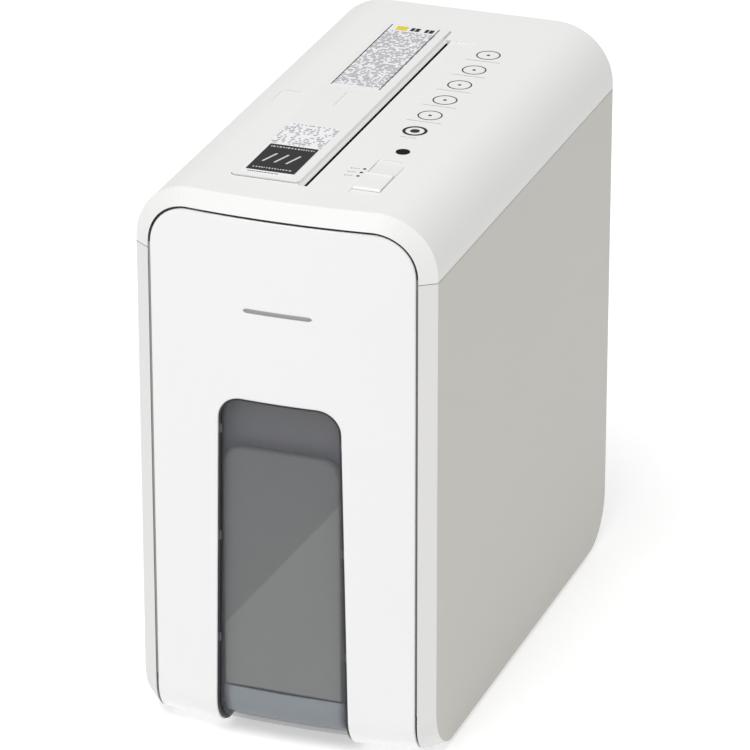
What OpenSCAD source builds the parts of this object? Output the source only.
// Deskside paper shredder: arched body, bowed drawer front with a window, feed slot along the top.
// Origin: middle of the footprint, on the surface it stands on. X across, Y from front to rear, Z up.

/* [Body] */
// Width across the two side panels
body_w = 165; // [150:1:200]
// Front to rear length of the side panels
side_depth = 290; // [280:1:350]
// Height of the body above its underside
body_h = 309; // [300:1:360]
// Height of the seam between side panels and top cover, above the underside
seam_h = 273; // [266:1:318]
// Wall of the covers
wall = 2.5; // [2:0.1:3]
// Radius of the two shoulders along the top
shoulder_r = 33; // [20:1:36]
// Radius of the lower front and rear corners
lower_r = 27.5; // [15:0.5:32]
// Height of the rubber feet
foot_h = 3; // [2:0.5:8]
// Radius of a rubber foot
foot_r = 8; // [5:0.5:12]

/* [Front] */
// How far the front edge of the top bows out at the middle
edge_bow = 7.3; // [4:0.1:12]
// How far the drawer front bows out at the middle
panel_bow = 7.1; // [4:0.1:12]
// Width of the slanted bezel, seen from the front
bezel_w = 8.6; // [6:0.1:12]
// How far the slanted bezel comes forward
bezel_fwd = 6.1; // [3:0.1:9]
// Gap round the drawer front
panel_gap = 1.6; // [1:0.1:2.5]
// Radius of the lower edge of the drawer front
front_r = 20; // [16:0.5:26]
// Width of the window cut-out at its top
window_w = 67.5; // [50:0.5:90]
// How much further out each side of the window stands at its foot
window_flare = 3.6; // [0:0.1:6]
// Height of the window's top above the underside
window_h = 198; // [150:1:205]
// Radius of the window's upper corners
window_r = 13; // [5:1:25]
// Setback of the clear pane behind the drawer front
pane_setback = 3; // [2.6:0.1:5]
// Thickness of the clear pane
pane_t = 2; // [1.5:0.1:3]

/* [Top] */
// Length of the feed slot
slot_len = 224; // [215:1:228]
// Width of the feed slot
slot_w = 4.3; // [4.2:0.1:8]
// Distance of the slot's middle to the right of the centre line
slot_x = 2.45; // [0:0.05:8]
// Distance of the slot's front end behind the front of the drawer
slot_inset = 30; // [28:1:36]
// Width of the sloped guide beside the slot
guide_w = 14; // [8:1:16]
// Width of the raised plate beside the slot
plate_w = 37.6; // [30:0.1:40]
// How far that plate stands above the top
plate_rise = 0.9; // [0.5:0.1:2]
// Travel of the mode slider from one mark to the next
slider_step = 4.7; // [3:0.1:4.8]
// Diameter of the indicator lens
lens_d = 7.5; // [5:0.5:10]

/* [Drawer] */
// Height of the shelf between bin and mechanism, above the underside
deck_h = 211; // [208:1:230]
// Thickness of the shelf
deck_t = 2.5; // [2:0.1:4]
// Wall of the waste bin
bin_wall = 2; // [1.5:0.1:3]
// Clearance round the waste bin
bin_gap = 6; // [4:0.5:8]

/* [Cutter] */
// Distance between the two roller axes
roller_gap = 24; // [24:0.5:25]
// Radius of a cutting disc
disc_r = 13.5; // [13:0.1:14]
// Pitch of the discs along a roller
disc_pitch = 8; // [8:0.1:8.2]
// Gap between neighbouring discs of the two rollers
disc_gap = 0.4; // [0.3:0.05:0.6]
// Radius of a disc's hub
hub_r = 9; // [8.5:0.1:9.5]
// Radius of the roller journals
journal_r = 6; // [5:0.1:6.5]
// Thickness of the steel end plates
plate_t = 3; // [2:0.5:4]
// Height of the roller axes above the shelf
roller_rise = 29.5; // [29.5:0.5:34]

/* [Drive] */
// Radius of the motor
motor_r = 21; // [18:0.5:22]
// Length of the motor
motor_len = 96; // [70:1:110]
// Teeth on the final gear
final_n = 36; // [34:1:36]
// Teeth on the small idler gear and on the motor pinion
small_n = 14; // [14:1:15]
// Teeth on the large idler gear
idler_n = 56; // [52:1:56]
// Teeth on each of the two gears that pair the rollers
sync_n = 12; // [12:12]
// Running clearance between a journal and its bore
running_gap = 0.05; // [0.02:0.01:0.1]

/* [Hidden] */
$fn = 96;
half_w = body_w / 2;
base_z = foot_h;
seam_z = base_z + seam_h;
top_z = base_z + body_h;
front_y = -(side_depth + bezel_fwd + edge_bow) / 2;
rear_y = -front_y;
side_y = front_y + bezel_fwd + edge_bow;
land_y = side_y + lower_r;
cover_y = side_y + 2;
side_in = half_w - wall;
bezel_x = half_w - bezel_w;
panel_half = bezel_x - panel_gap;
joint_gap = 0.2;
lip = 3;

slot_front = front_y + slot_inset;
slot_rear = slot_front + slot_len;
slot_left = slot_x - slot_w / 2;
slot_right = slot_x + slot_w / 2;
guide_right = slot_right + guide_w;
guide_deep = 0.8;
plate_right = slot_left - joint_gap;
plate_left = plate_right - plate_w;
plate_front = slot_front + 2;
plate_rear = slot_rear + 14;
plate_seat = 1;
plate_corner = 3;
label_t = 0.2;
label_w = 28.5;
label_x = plate_left + 4;
front_label_y = plate_front + 4;
front_label_len = 72;
long_label_y = front_label_y + front_label_len + 59;
long_label_len = 98;

pocket_w = 16;
pocket_len = 47.5;
pocket_x = slot_x + 25.05;
pocket_y = slot_front;
pocket_deep = 3;
knob_len = 20.5;
knob_y = pocket_y + slider_step + 1;
knob_gap = 0.3;
knob_rise = 1.2;
stem_w = 4;
stem_x = pocket_x + pocket_w / 2;
stem_y = knob_y + knob_len / 2;
stem_drop = 9;
lens_y = pocket_y + 61;
recess_w = 11.4;
recess_len = 20;
recess_x = -half_w + 27;
recess_y = slot_front + 104;
recess_deep = 1.6;

deck_z = base_z + deck_h;
deck_top = deck_z + deck_t;
roller_z = deck_top + roller_rise;
roller_ax = slot_x - roller_gap / 2;
roller_bx = slot_x + roller_gap / 2;
disc_count = floor((slot_len + 0.6) / disc_pitch);
disc_t = disc_pitch / 2 - disc_gap;
stack_len = disc_count * disc_pitch;
stack_y = slot_front - 0.4;
plate_a_y = stack_y - 0.5 - plate_t;
plate_b_y = stack_y + stack_len + 0.6;
gear_y = plate_b_y + plate_t + 1;
sync_t = 6;
final_y = gear_y + sync_t + 1;
final_t = 6;
big_y = final_y + final_t + 1;
big_t = 6;
back_plate_y = big_y + big_t + 1.5;
back_plate_t = 2.5;
hex_r = 6.5;
shaft_tip_r = 4.5;
bush_wall = 2;
rod_r = 3;

fine_m = 1;
mid_m = 1.5;
sync_m = roller_gap / sync_n;
idler_axis_r = 4;
press = 20;
gear_slack = 0.2;
notch_w = 2.4;
notch_deep = 1.2;
disc_turn = 13;
idler_turn = 138;
idler_dist = mid_m * (final_n + small_n) / 2;
idler_x = roller_ax + idler_dist * cos(idler_turn);
idler_z = roller_z + idler_dist * sin(idler_turn);
motor_dist = fine_m * (idler_n + small_n) / 2;
motor_turn = 240.8;
motor_x = idler_x + motor_dist * cos(motor_turn);
motor_z = idler_z + motor_dist * sin(motor_turn);
motor_shaft_r = 3;
motor_y = plate_b_y - motor_len;
final_phase = 0;
small_phase = mesh_phase(final_phase, final_n, idler_turn, small_n);
pinion_phase = mesh_phase(0, idler_n, motor_turn, small_n);
sync_phase = mesh_phase(0, sync_n, 0, sync_n);

tower_top = idler_z + 14;
plate_low = deck_top;
plate_high = roller_z + 15.5;
plate_x0 = motor_x - motor_r - 1;
plate_x1 = roller_bx + 21;

rod_places = [for (x = [roller_ax - 17, roller_bx + 17], z = [plate_low + 7, plate_high - 5]) [x, z]];
post_places = [[plate_x0 + 4, roller_z - 20], [plate_x0 + 4, tower_top - 5], [idler_x - 2, roller_z - 20]];

throat_wall = 2;
throat_low = plate_high + 0.5;

sensor_y = slot_front + slot_len / 2;
sensor_z = throat_low + 20;
groove_x = label_x + label_w / 2 - 1;
groove_y = front_label_y + front_label_len + 30;

rail_w = 4;
rail_h = 4;
bin_x = panel_half - bin_gap;
bin_low = base_z + wall + rail_h + 0.5;
bin_high = deck_z - 7;
bin_front = front_y + 16;
bin_corner = 34;
pane_lap = 5;
clip_w = 1.6;
clip_t = 1.8;
clip_h = 5;
clip_rows = [for (z = [57, 117, 179]) base_z + z];
magnet_x = 54;
magnet_w = 10;
magnet_z = deck_top + 20;
bin_rear = rear_y - wall - 8;

inlet_w = 28;
inlet_h = 22;
inlet_x = 34;
inlet_z = deck_top + 14;
inlet_deep = 17;
pin_back = 6;
vent_w = 3;
vent_len = 42;
vent_step = 7;
vent_count = 12;
screw_r = 1.5;
screw_head_r = 3;
screw_head_t = 1.5;
boss_len = 8;
ledge_w = 8;
ledge_h = 6;
deck_front = side_y + lip + wall + 0.5;
deck_screw_x = side_in - ledge_w / 2;
deck_screw_rows = [deck_front + 14, rear_y - 24];
front_gap = 0.6;
screw_x = side_in - 8;
screw_rows = [base_z + lower_r + 12, base_z + seam_h / 2, seam_z - 12];
board_x = side_in - 19;
board_y = slot_front + 60;
board_len = 120;
board_h = 70;
board_t = 1.6;

// Start of disc i on roller 0 or 1
function disc_y(i, roller) = stack_y + (i + roller / 2) * disc_pitch + disc_gap / 2;
// Radius of an arc that rises by `rise` over the half chord `half`
function arc_r(half, rise) = (half * half + rise * rise) / (2 * rise);
// How far an arc through the apex has fallen back at x
function fall(x, half, rise) = arc_r(half, rise) - sqrt(pow(arc_r(half, rise), 2) - x * x);
// Y of the front edge of the covers, and of the drawer front, at x
function edge_y(x) = front_y + bezel_fwd + fall(x, half_w, edge_bow);
function panel_y(x) = front_y + fall(x, bezel_x, panel_bow);
// Phase of a gear with n2 teeth that meshes with a gear of n1 teeth and phase p1, seen in direction a
function mesh_phase(p1, n1, a, n2) = a + 180 + (180 - (p1 - a) * n1) / n2;
// A front surface at y rolls under to the landing line: turn 90 is the underside, turn 0 is upright
function rolled(x, y, skin, turn) = let(r = (y < side_y - 1 ? front_r : lower_r) - skin)
    [x, turn == 90 ? land_y : y + skin + r * (1 - cos(turn)), base_z + skin + r * (1 - sin(turn))];
// Half the width of the window at height z
function window_half(z) = window_w / 2 + window_flare * (1 - (z - base_z) / window_h);

// A flat shape drawn in X and Z, made solid from y0 to y1
module along_y(y0, y1) { translate([0, y1, 0]) rotate([90, 0, 0]) linear_extrude(y1 - y0) children(); }
// A flat shape drawn in Y and Z, made solid from x0 to x1
module along_x(x0, x1) { translate([x0, 0, 0]) rotate([90, 0, 90]) linear_extrude(x1 - x0) children(); }
// A flat shape drawn in X and Y, made solid from z0 to z1
module along_z(z0, z1) { translate([0, 0, z0]) linear_extrude(z1 - z0) children(); }
// A box between two corners
module block(low, high) { translate(low) cube(high - low); }
// A round bar along Y
module bar_y(x, z, r, y0, y1) { translate([x, y1, z]) rotate([90, 0, 0]) cylinder(r = r, h = y1 - y0); }

// A rectangle with rounded corners, between two corners
module round_rect(low, high, r) {
    translate([low.x + r, low.y]) square([high.x - low.x - 2 * r, high.y - low.y]);
    translate([low.x, low.y + r]) square([high.x - low.x, high.y - low.y - 2 * r]);
    for (x = [low.x + r, high.x - r], y = [low.y + r, high.y - r])
        translate([x, y]) circle(r);
}

// Cross-section of the arched top: flat sides, flat crown and two round shoulders
module arch(inset, low) {
    r = shoulder_r - inset;
    w = half_w - inset;
    high = top_z - inset;
    intersection() {
        union() {
            translate([-w, low]) square([2 * w, high - r - low]);
            translate([-w + r, low]) square([2 * (w - r), high - low]);
            for (side = [-1, 1])
                translate([side * (w - r), high - r]) circle(r);
        }
        translate([-w, low]) square([2 * w, high - low]);
    }
}

// Side outline of the body: upright, with round lower corners
module side_outline(inset, high) {
    r = lower_r - inset;
    low = base_z + inset;
    y0 = side_y + inset;
    y1 = rear_y - inset;
    translate([y0, low + r]) square([y1 - y0, high - low - r]);
    translate([y0 + r, low]) square([y1 - y0 - 2 * r, high - low]);
    for (y = [y0 + r, y1 - r])
        translate([y, low + r]) circle(r);
}

// A closed solid through rings that all have the same number of corners, clockwise seen from the last.
// A cap is a fan from corner 0, or a zigzag between two rows when the ring is a thin sheet.
module loft(rings, thin = false) {
    n = len(rings[0]);
    last = (len(rings) - 1) * n;
    sides = [for (i = [0:len(rings) - 2], j = [0:n - 1]) let(a = i * n, k = (j + 1) % n)
        each [[a + j, a + k, a + n + j], [a + k, a + n + k, a + n + j]]];
    fan = [for (j = [1:n - 2]) [0, j, j + 1]];
    zigzag = [for (j = [0:n / 2 - 2]) each [[j, j + 1, n - 1 - j], [j + 1, n - 2 - j, n - 1 - j]]];
    cap = thin ? zigzag : fan;
    first_cap = [for (f = cap) [f[2], f[1], f[0]]];
    last_cap = [for (f = cap) [f[0] + last, f[1] + last, f[2] + last]];
    polyhedron([for (ring = rings) each ring], concat(first_cap, sides, last_cap), convexity = 6);
}

// A bowed sheet that rolls under at its foot; `skin` is its depth behind the drawer front
module rolled_sheet(half, skin, t, high) {
    xs = [for (i = [-10:10]) i * half / 10];
    turns = [for (i = [9:-1:0]) i * 10];
    rings = [for (x = xs) concat(
        [for (a = turns) rolled(x, panel_y(x), skin, a)],
        [[x, panel_y(x) + skin, high], [x, panel_y(x) + skin + t, high]],
        [for (i = [9:-1:0]) rolled(x, panel_y(x), skin + t, turns[i])])];
    loft(rings, thin = true);
}

// Outline of the drawer front, seen from the front
module panel_outline(inset) {
    r = shoulder_r - bezel_w - panel_gap - inset;
    w = panel_half - inset;
    high = top_z - bezel_w - panel_gap - inset;
    translate([-w, 0]) square([2 * w, high - r]);
    translate([-w + r, 0]) square([2 * (w - r), high]);
    for (side = [-1, 1])
        translate([side * (w - r), high - r]) circle(r);
}

// Outline of the window cut-out, open at the foot
module window_outline(grow) {
    high = base_z + window_h + grow;
    r = window_r + grow;
    foot = window_half(-wall) + grow;
    w = window_half(high - r) + grow;
    polygon([[-foot, -wall], [foot, -wall], [w, high - r], [-w, high - r]]);
    translate([-w + r, 0]) square([2 * (w - r), high]);
    for (side = [-1, 1])
        translate([side * (w - r), high - r]) circle(r);
}

// What is cut away in front of the slanted bezel, from seam to seam over the arch
module bezel_cutter() {
    steps = 16;
    cx = half_w - shoulder_r;
    cz = top_z - shoulder_r;
    flat = [for (i = [-7:7]) i * cx / 8];
    loft(concat(
        [cutter_ring(-cx, seam_z - 1, 180)],
        [for (i = [0:steps]) cutter_ring(-cx, cz, 180 - i * 90 / steps)],
        [for (x = flat) cutter_ring(x, cz, 90)],
        [for (i = [0:steps]) cutter_ring(cx, cz, 90 - i * 90 / steps)],
        [cutter_ring(cx, seam_z - 1, 0)]));
}
// One cross-section of it: the slanted line runs on past the outer and the inner edge
function cutter_ring(x, z, turn) = let(
    spare = 4,
    slope = bezel_fwd / bezel_w,
    y = edge_y(x + shoulder_r * cos(turn)),
    out = shoulder_r + spare,
    in = shoulder_r - bezel_w - spare)
    [[x + out * cos(turn), y + spare * slope, z + out * sin(turn)],
    [x + in * cos(turn), y - bezel_fwd - spare * slope, z + in * sin(turn)],
    [x + in * cos(turn), front_y - 20, z + in * sin(turn)],
    [x + out * cos(turn), front_y - 20, z + out * sin(turn)]];

module top_cover() {
    color("whitesmoke") {
        difference() {
            along_y(front_y - bezel_fwd, rear_y) arch(0, seam_z);
            bezel_cutter();
            along_y(front_y - 20, cover_y) arch(bezel_w, seam_z - 1);
            along_y(cover_y + wall, rear_y - wall) arch(wall, seam_z - 1);
            block([slot_left, slot_front, seam_z], [guide_right, slot_rear, top_z + 1]);
            along_z(top_z - plate_seat, top_z + 1)
                round_rect([plate_left, plate_front], [plate_right + 1, plate_rear], plate_corner);
            along_z(seam_z, top_z + 1)
                round_rect([pocket_x, pocket_y], [pocket_x + pocket_w, pocket_y + pocket_len], 1.5);
            translate([stem_x, lens_y, seam_z]) cylinder(r = lens_d / 2 + running_gap, h = body_h);
            along_z(top_z - recess_deep, top_z + 1)
                round_rect([recess_x, recess_y], [recess_x + recess_w, recess_y + recess_len], 2);
        }
        slider_well();
    }
}
// Tray under the mode slider, with a slot for its stem
module slider_well() {
    floor_z = top_z - pocket_deep;
    difference() {
        block([pocket_x - 2, pocket_y - 2, floor_z - 2],
            [pocket_x + pocket_w + 2, pocket_y + pocket_len + 2, top_z - wall]);
        block([pocket_x, pocket_y, floor_z], [pocket_x + pocket_w, pocket_y + pocket_len, top_z]);
        block([stem_x - stem_w / 2 - knob_gap, stem_y - stem_w / 2 - slider_step - 0.5, floor_z - 3],
            [stem_x + stem_w / 2 + knob_gap, stem_y + stem_w / 2 + slider_step + 0.5, floor_z + 1]);
    }
}

// Flat side with screw bosses at the rear and a ledge that carries the shelf
module side_panel(side) {
    color("gainsboro") {
        along_x(side > 0 ? side_in : -half_w, side > 0 ? half_w : -side_in) side_outline(0, seam_z);
        difference() {
            union() {
                for (z = screw_rows)
                    mirror([side > 0 ? 0 : 1, 0, 0])
                        block([screw_x - 4, rear_y - wall - boss_len, z - 4],
                            [side_in, rear_y - wall, z + 4]);
                mirror([side > 0 ? 0 : 1, 0, 0])
                    block([side_in - ledge_w, deck_front + 6, deck_z - ledge_h],
                        [side_in, rear_y - wall - boss_len, deck_z]);
            }
            for (z = screw_rows)
                bar_y(side * screw_x, z, screw_r, rear_y - wall - boss_len - 1, rear_y);
            for (y = deck_screw_rows)
                translate([side * deck_screw_x, y, deck_z - ledge_h - 1])
                    cylinder(r = screw_r, h = ledge_h + 2);
        }
    }
}
module left_side_panel() { side_panel(-1); }
module right_side_panel() { side_panel(1); }

// Slanted strips beside the drawer front; they turn under to the base
module bezel_strips() {
    color("ghostwhite") {
        bezel_strip(1);
        bezel_strip(-1);
    }
}
module bezel_strip(side) {
    turns = [for (i = [0:9]) 90 - i * 10];
    inner_y = side_y - bezel_fwd;
    depth = bezel_fwd + lip + wall;
    function corner(x, y, skin, turn, high) = high
        ? [side * x, y + skin, seam_z]
        : rolled(side * x, y, skin, turn);
    function ring(turn, high) = let(r = [
        corner(side_in, side_y, 0, turn, high),
        corner(half_w, side_y, 0, turn, high),
        corner(bezel_x, inner_y, 0, turn, high),
        corner(bezel_x, inner_y, depth, turn, high),
        corner(side_in, side_y, lip + wall, turn, high)])
        side > 0 ? r : [for (i = [5:-1:1]) r[i % 5]];
    loft(concat([for (a = turns) ring(a, false)], [ring(0, true)]));
}

module rear_cover() {
    x1 = side_in;
    vents_x = -(vent_count - 1) * vent_step / 2;
    color("whitesmoke") difference() {
        along_x(-x1, x1) difference() {
            side_outline(0, seam_z);
            side_outline(wall, seam_z + 1);
            translate([side_y - 1, 0]) square([side_depth - lower_r + 1, seam_z + 1]);
        }
        for (i = [0:vent_count - 1])
            along_y(rear_y - wall - 1, rear_y + 1) vent_outline(vents_x + i * vent_step, base_z + 60);
        for (i = [0:5])
            along_y(rear_y - wall - 1, rear_y + 1)
                vent_outline(-side_in + 14 + i * vent_step, deck_top + 8);
        along_y(rear_y - wall - 1, rear_y + 1)
            translate([inlet_x, inlet_z]) square([inlet_w, inlet_h], center = true);
        for (x = [-screw_x, screw_x], z = screw_rows) {
            bar_y(x, z, screw_r + running_gap, rear_y - wall - 1, rear_y + 1);
            bar_y(x, z, screw_head_r + 0.1, rear_y - screw_head_t, rear_y + 1);
        }
    }
}
module vent_outline(x, z) { round_rect([x - vent_w / 2, z], [x + vent_w / 2, z + vent_len], 1.4); }

module base_tray() {
    color("silver") difference() {
        along_x(-side_in, side_in) translate([land_y, base_z]) square([side_depth - 2 * lower_r, wall]);
        block([-bezel_x, land_y - 1, base_z - 1], [bezel_x, land_y + front_gap, seam_z]);
        for (x = [-1, 1], y = [-1, 1])
            translate([x * (half_w - 24), y * (side_depth / 2 - 50), base_z - 1])
                cylinder(r = 2 + running_gap, h = wall + 2);
    }
}
module feet() {
    color("dimgray") for (x = [-1, 1], y = [-1, 1])
        translate([x * (half_w - 24), y * (side_depth / 2 - 50), 0]) {
            cylinder(r = foot_r, h = foot_h);
            cylinder(r = 2, h = foot_h + wall);
        }
}
module drawer_rails() {
    color("lightgray") for (side = [-1, 1])
        block([side * (bin_x - 6) - rail_w / 2, land_y + 2, base_z + wall],
            [side * (bin_x - 6) + rail_w / 2, rear_y - lower_r - 2, base_z + wall + rail_h]);
}

// Shelf over the bin, with a chute under the rollers and a wall behind the drawer front
module deck() {
    color("lightgray") difference() {
        union() {
            block([-side_in, deck_front, deck_z], [side_in, rear_y - wall, deck_top]);
            block([-side_in, deck_front, deck_z], [side_in, deck_front + wall, seam_z]);
        }
        block([roller_ax - disc_r - 1, stack_y + 3, deck_z - 1],
            [roller_bx + disc_r + 1, stack_y + stack_len - 3, deck_top + 1]);
        for (x = [-deck_screw_x, deck_screw_x], y = deck_screw_rows)
            translate([x, y, deck_z - 1]) cylinder(r = screw_r + running_gap, h = deck_t + 2);
        for (x = [-screw_x, screw_x], z = screw_rows)
            block([x - 5, rear_y - wall - boss_len - 1, z - 5], [x + 5, rear_y, z + 5]);
    }
}

module front_panel() {
    color("white") difference() {
        intersection() {
            rolled_sheet(panel_half, 0, wall, top_z);
            along_y(front_y - 1, land_y + 1) panel_outline(0);
        }
        along_y(front_y - 1, land_y + 1) window_outline(0);
    }
}
module window_pane() {
    color("slategray", 0.5) intersection() {
        rolled_sheet(window_half(-wall) + pane_lap, pane_setback, pane_t, top_z);
        along_y(front_y - 1, land_y + 1) window_outline(pane_lap);
    }
}
module waste_bin() {
    color("gray", 0.5) difference() {
        along_x(-bin_x, bin_x) bin_side(0);
        along_x(-bin_x + bin_wall, bin_x - bin_wall) bin_side(bin_wall);
    }
}
// Side view of the bin, open at the top when inset
module bin_side(inset) {
    r = bin_corner - inset;
    y0 = bin_front + inset;
    y1 = bin_rear - inset;
    low = bin_low + inset;
    high = bin_high + inset;
    translate([y0, low + r]) square([y1 - y0, high - low - r]);
    translate([y0 + r, low]) square([y1 - y0 - 2 * r, high - low]);
    for (y = [y0 + r, y1 - r])
        translate([y, low + r]) circle(r);
}
module bin_clips() {
    color("white") for (side = [0, 1], z = clip_rows) {
        x1 = window_half(z + clip_h / 2) - 0.05;
        rear = panel_y(x1 - clip_w) + pane_setback - 0.1;
        mirror([side, 0, 0])
            block([x1 - clip_w, rear - clip_t, z - clip_h / 2], [x1, rear, z + clip_h / 2]);
    }
}
module drawer_magnet() {
    y = panel_y(magnet_x + magnet_w / 2) + wall;
    color("dimgray")
        block([magnet_x - magnet_w / 2, y, magnet_z - 5], [magnet_x + magnet_w / 2, y + 5, magnet_z + 5]);
}
module drawer_sensor() {
    y = deck_front + wall;
    color("black")
        block([magnet_x - magnet_w / 2, y, magnet_z - 4], [magnet_x + magnet_w / 2, y + 5, magnet_z + 4]);
}

module feed_plate() {
    color("ghostwhite") difference() {
        along_z(top_z - plate_seat, top_z + plate_rise)
            round_rect([plate_left, plate_front], [plate_right, plate_rear], plate_corner);
        block([groove_x - 0.6, groove_y, top_z + plate_rise - 0.5],
            [groove_x + 0.6, groove_y + 23, top_z + plate_rise + 1]);
    }
}
module label(y, len) {
    z = top_z + plate_rise;
    block([label_x, y, z], [label_x + label_w, y + len, z + label_t]);
}
module front_label() { color("white") label(front_label_y, front_label_len); }
module long_label() { color("white") label(long_label_y, long_label_len); }

// Sloped lead-in on the right of the slot
module slot_guide() {
    color("whitesmoke") along_y(slot_front, slot_rear) polygon([
        [slot_right, top_z - guide_deep],
        [guide_right, top_z - 0.4],
        [guide_right, top_z - 0.4 - wall],
        [slot_right, top_z - guide_deep - wall]]);
}
// Funnel between the slot and the rollers
module slot_throat() {
    high = top_z - guide_deep - wall;
    color("dimgray") difference() {
        union() {
            block([slot_left - throat_wall, slot_front - throat_wall, throat_low],
                [slot_right + throat_wall, slot_rear + throat_wall, high]);
            block([slot_left - throat_wall, slot_front, high - 1], [slot_left, slot_rear, top_z - wall]);
        }
        block([slot_left, slot_front, throat_low - 1], [slot_right, slot_rear, top_z]);
        translate([slot_left - throat_wall - 1, sensor_y, sensor_z]) rotate([0, 90, 0])
            cylinder(r = 2, h = slot_w + 2 * throat_wall + 2);
    }
}
module paper_sensors() {
    color("black") {
        block([slot_left - throat_wall - 8, sensor_y - 5, sensor_z - 4],
            [slot_left - throat_wall, sensor_y + 5, sensor_z + 4]);
        block([slot_right + throat_wall, sensor_y - 5, sensor_z - 4],
            [slot_right + throat_wall + 8, sensor_y + 5, sensor_z + 4]);
    }
}

// Slide knob with a grip ridge and a stem that goes down into the switch
module mode_slider() {
    low = top_z - pocket_deep + knob_gap;
    color("white") {
        block([pocket_x + knob_gap, knob_y, low],
            [pocket_x + pocket_w - knob_gap, knob_y + knob_len, top_z]);
        block([pocket_x + knob_gap, knob_y + knob_len - 2.5, top_z],
            [pocket_x + pocket_w - knob_gap, knob_y + knob_len, top_z + knob_rise]);
        block([stem_x - stem_w / 2, stem_y - stem_w / 2, top_z - stem_drop],
            [stem_x + stem_w / 2, stem_y + stem_w / 2, low]);
    }
}
module slide_switch() {
    high = top_z - pocket_deep - 2;
    half_x = stem_w / 2 + knob_gap;
    half_y = stem_w / 2 + slider_step + 0.5;
    color("black") difference() {
        block([stem_x - half_x - 3, stem_y - half_y - 4, high - 8],
            [stem_x + half_x + 3, stem_y + half_y + 4, high]);
        block([stem_x - half_x, stem_y - half_y, top_z - stem_drop - 1],
            [stem_x + half_x, stem_y + half_y, high + 1]);
    }
}
module indicator_lens() {
    color("black") translate([stem_x, lens_y, top_z - 4]) cylinder(r = lens_d / 2, h = 4.3);
}

// Holes for the two bushes and the four tie rods
module plate_holes() {
    for (x = [roller_ax, roller_bx])
        translate([x, roller_z]) circle(journal_r + bush_wall);
    for (p = rod_places)
        translate(p) circle(rod_r);
}
module cutter_plate_front() {
    color("silver") along_y(plate_a_y, plate_a_y + plate_t) difference() {
        translate([roller_ax - 21, plate_low]) square([plate_x1 - roller_ax + 21, plate_high - plate_low]);
        plate_holes();
    }
}
// The rear plate also carries the motor and the idler
module cutter_plate_rear() {
    color("silver") along_y(plate_b_y, plate_b_y + plate_t) difference() {
        union() {
            translate([plate_x0, plate_low]) square([plate_x1 - plate_x0, plate_high - plate_low]);
            translate([plate_x0, plate_low]) square([slot_left - 16 - plate_x0, tower_top - plate_low]);
        }
        plate_holes();
        translate([motor_x, motor_z]) circle(motor_shaft_r + 3);
        translate([idler_x, idler_z]) circle(idler_axis_r);
    }
}
module tie_rods() {
    color("gray") for (p = rod_places)
        bar_y(p.x, p.y, rod_r, plate_a_y, plate_b_y + plate_t);
}
module shaft_bushes() {
    color("goldenrod") {
        for (x = [roller_ax, roller_bx], y = [plate_a_y, plate_b_y])
            along_y(y, y + plate_t) translate([x, roller_z]) difference() {
                circle(journal_r + bush_wall);
                circle(journal_r + running_gap);
            }
        along_y(back_plate_y, back_plate_y + back_plate_t) translate([roller_ax, roller_z]) difference() {
            circle(shaft_tip_r + bush_wall);
            circle(shaft_tip_r + running_gap);
        }
    }
}

// Hexagonal shaft with a round journal at each end
module roller_shaft(x, end_y) {
    bar_y(x, roller_z, journal_r, plate_a_y - 1.5, stack_y);
    translate([x, stack_y + stack_len + 0.1, roller_z]) rotate([90, 0, 0])
        cylinder(r = hex_r, h = stack_len + 0.1, $fn = 6);
    bar_y(x, roller_z, journal_r, stack_y + stack_len + 0.1, end_y);
}
module roller_shaft_a() {
    color("slategray") {
        roller_shaft(roller_ax, big_y - 0.5);
        bar_y(roller_ax, roller_z, shaft_tip_r, big_y - 0.5, back_plate_y + back_plate_t);
    }
}
module roller_shaft_b() { color("slategray") roller_shaft(roller_bx, gear_y + sync_t + 0.4); }

// One cutting disc with four notches, and a hub that reaches to the next disc
module cutting_disc(x, y, turn, hub_y) {
    along_y(y, y + disc_t) translate([x, roller_z]) difference() {
        circle(disc_r);
        circle(hex_r + running_gap, $fn = 6);
        for (a = [0:90:270])
            rotate(a + turn) translate([disc_r - notch_deep, -notch_w / 2])
                square([2 * notch_deep, notch_w]);
    }
    along_y(hub_y, hub_y + disc_pitch - disc_t) translate([x, roller_z]) difference() {
        circle(hub_r);
        circle(hex_r + running_gap, $fn = 6);
    }
}
module cutting_discs_a() {
    color("darkgray") for (i = [0:disc_count - 1]) {
        y = disc_y(i, 0);
        cutting_disc(roller_ax, y, i * disc_turn, y + disc_t);
    }
}
module cutting_discs_b() {
    color("darkgray") for (i = [0:disc_count - 1]) {
        y = disc_y(i, 1);
        cutting_disc(roller_bx, y, -i * disc_turn, y + disc_t - disc_pitch);
    }
}

// Bar with a finger between each pair of discs, beside a roller
module stripper_comb(x, side, row) {
    near = side * (disc_r + 1);
    far = near + side * 3.5;
    tip = side * (hub_r + 0.7);
    gap = (disc_pitch - disc_t) / 2;
    along_y(plate_a_y + plate_t, plate_b_y) xz_box(x + near, x + far, 5);
    for (i = [0:disc_count - 2]) {
        y = (disc_y(i, row) + disc_y(i + 1, row) + disc_t) / 2;
        along_y(y - gap + disc_gap, y + gap - disc_gap) xz_box(x + tip, x + near, 5);
    }
}
module xz_box(x0, x1, half_h) {
    translate([min(x0, x1), roller_z - half_h]) square([abs(x1 - x0), 2 * half_h]);
}
module stripper_comb_left() { color("tan") stripper_comb(roller_ax, -1, 0); }
module stripper_comb_right() { color("tan") stripper_comb(roller_bx, 1, 1); }

// Half the angle of an involute tooth at radius r, for pitch radius p
function tooth_half(r, p, n) = let(base = p * cos(press), a = r > base ? acos(base / r) : 0)
    90 / n - gear_slack / p * 90 / PI + (tan(press) * 180 / PI - press) - (tan(a) * 180 / PI - a);
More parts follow.
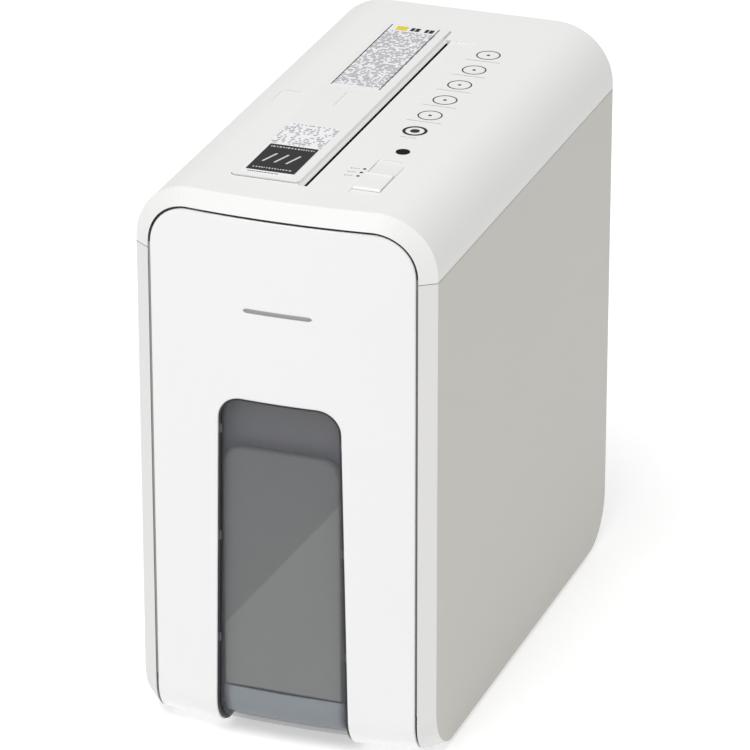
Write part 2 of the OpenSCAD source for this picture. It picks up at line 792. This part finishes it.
// Outline of an involute gear in X and Z, with tooth 0 in direction `phase`
module gear_outline(n, m, phase) {
    p = n * m / 2;
    radii = [p - 1.2 * m, max(p * cos(press), p - 0.9 * m), p - 0.25 * m, p + 0.3 * m, p + 0.8 * m];
    polygon([for (i = [0:n - 1], j = [0:9])
        let(k = j < 5 ? j : 9 - j, side = j < 5 ? -1 : 1)
        let(a = phase + i * 360 / n + side * tooth_half(radii[k], p, n))
        radii[k] * [cos(a), sin(a)]]);
}
module gear(x, z, n, m, phase, y, t, bore) {
    along_y(y, y + t) translate([x, z]) difference() {
        gear_outline(n, m, phase);
        circle(bore);
    }
}
module sync_gear_a() {
    color("gray") gear(roller_ax, roller_z, sync_n, sync_m, 0, gear_y, sync_t, journal_r);
}
module sync_gear_b() {
    color("gray") gear(roller_bx, roller_z, sync_n, sync_m, sync_phase, gear_y, sync_t, journal_r);
}
module final_gear() {
    color("dimgray") gear(roller_ax, roller_z, final_n, mid_m, final_phase, final_y, final_t, journal_r);
}
module idler_gear() {
    bore = idler_axis_r + running_gap;
    color("ivory") {
        gear(idler_x, idler_z, small_n, mid_m, small_phase, final_y, final_t, bore);
        along_y(final_y + final_t, big_y) translate([idler_x, idler_z]) difference() {
            circle(idler_axis_r + 3);
            circle(bore);
        }
        gear(idler_x, idler_z, idler_n, fine_m, 0, big_y, big_t, bore);
    }
}
module idler_axle() {
    color("gray") bar_y(idler_x, idler_z, idler_axis_r, plate_b_y, back_plate_y + back_plate_t);
}

// Can with two end caps, fixed to the rear cutter plate
module motor_body() {
    color("darkslategray") difference() {
        bar_y(motor_x, motor_z, motor_r, motor_y, plate_b_y);
        bar_y(motor_x, motor_z, motor_r - 3, motor_y + 4, plate_b_y - 4);
        bar_y(motor_x, motor_z, motor_shaft_r + running_gap, motor_y - 1, plate_b_y + 1);
    }
}
// Armature, shaft and pinion
module motor_shaft() {
    color("silver") {
        bar_y(motor_x, motor_z, motor_shaft_r, motor_y - 14, big_y + 0.1);
        bar_y(motor_x, motor_z, motor_r - 5, motor_y + 14, plate_b_y - 14);
        gear(motor_x, motor_z, small_n, fine_m, pinion_phase, big_y, big_t, 0.5);
    }
}
module cooling_fan() {
    y0 = motor_y - 12;
    color("dimgray") along_y(y0, y0 + 8) translate([motor_x, motor_z]) difference() {
        union() {
            circle(motor_shaft_r + 3);
            for (a = [0:45:315])
                rotate(a) translate([motor_shaft_r + 1, -0.8]) square([motor_r - 8, 1.6]);
        }
        circle(motor_shaft_r);
    }
}
module gear_plate() {
    x1 = roller_ax + 12;
    low = roller_z - 24;
    color("silver") along_y(back_plate_y, back_plate_y + back_plate_t) difference() {
        translate([plate_x0, low]) square([x1 - plate_x0, tower_top - low]);
        translate([roller_ax, roller_z]) circle(shaft_tip_r + bush_wall);
        translate([idler_x, idler_z]) circle(idler_axis_r);
    }
}
module plate_spacers() {
    color("gray") for (p = post_places)
        bar_y(p.x, p.y, 3, plate_b_y + plate_t, back_plate_y);
}

module circuit_board() {
    color("darkgreen") {
        block([board_x, board_y, deck_top], [board_x + board_t, board_y + board_len, deck_top + board_h]);
        for (i = [0:3])
            block([board_x - 6, board_y + 8 + i * 14, deck_top + 48],
            [board_x, board_y + 17 + i * 14, deck_top + 60]);
    }
}
module capacitor() {
    color("navy") translate([board_x, board_y + 22, deck_top + 22]) rotate([0, -90, 0])
        cylinder(r = 9, h = 16);
}
module heat_sink() {
    color("silver") {
        block([board_x - 3, board_y + 60, deck_top + 8], [board_x, board_y + 96, deck_top + 38]);
        for (i = [0:6])
            block([board_x - 14, board_y + 60 + i * 5.7, deck_top + 8],
                [board_x - 3, board_y + 61.8 + i * 5.7, deck_top + 38]);
    }
}

module power_inlet() {
    color("black") difference() {
        block([inlet_x - inlet_w / 2, rear_y - inlet_deep, inlet_z - inlet_h / 2],
            [inlet_x + inlet_w / 2, rear_y, inlet_z + inlet_h / 2]);
        block([inlet_x - inlet_w / 2 + 2, rear_y - inlet_deep + 2, inlet_z - inlet_h / 2 + 3],
            [inlet_x + inlet_w / 2 - 2, rear_y + 1, inlet_z + inlet_h / 2 - 3]);
    }
}
module inlet_pins() {
    color("silver") for (x = [-7, 0, 7])
        block([inlet_x + x - 1, rear_y - inlet_deep + 2, inlet_z - (x == 0 ? -1 : 3)],
            [inlet_x + x + 1, rear_y - pin_back, inlet_z + (x == 0 ? 5 : 1)]);
}
module rear_screws() {
    color("silver") for (x = [-screw_x, screw_x], z = screw_rows) {
        bar_y(x, z, screw_head_r, rear_y - screw_head_t, rear_y - 0.1);
        bar_y(x, z, screw_r, rear_y - wall - boss_len + 1, rear_y - screw_head_t);
    }
}
module deck_screws() {
    color("silver") for (x = [-deck_screw_x, deck_screw_x], y = deck_screw_rows)
        translate([x, y, deck_z - ledge_h + 1]) {
            cylinder(r = screw_r, h = ledge_h + deck_t - 1);
            translate([0, 0, ledge_h + deck_t - 1]) cylinder(r = screw_head_r, h = 2);
        }
}

top_cover();
left_side_panel();
right_side_panel();
bezel_strips();
rear_cover();
base_tray();
feet();
drawer_rails();
deck();
front_panel();
window_pane();
waste_bin();
bin_clips();
drawer_magnet();
drawer_sensor();
feed_plate();
slot_guide();
slot_throat();
front_label();
long_label();
mode_slider();
slide_switch();
indicator_lens();
cutter_plate_front();
cutter_plate_rear();
tie_rods();
shaft_bushes();
roller_shaft_a();
roller_shaft_b();
cutting_discs_a();
cutting_discs_b();
stripper_comb_left();
stripper_comb_right();
sync_gear_a();
sync_gear_b();
final_gear();
idler_gear();
idler_axle();
motor_body();
motor_shaft();
cooling_fan();
gear_plate();
plate_spacers();
circuit_board();
capacitor();
heat_sink();
paper_sensors();
power_inlet();
inlet_pins();
rear_screws();
deck_screws();
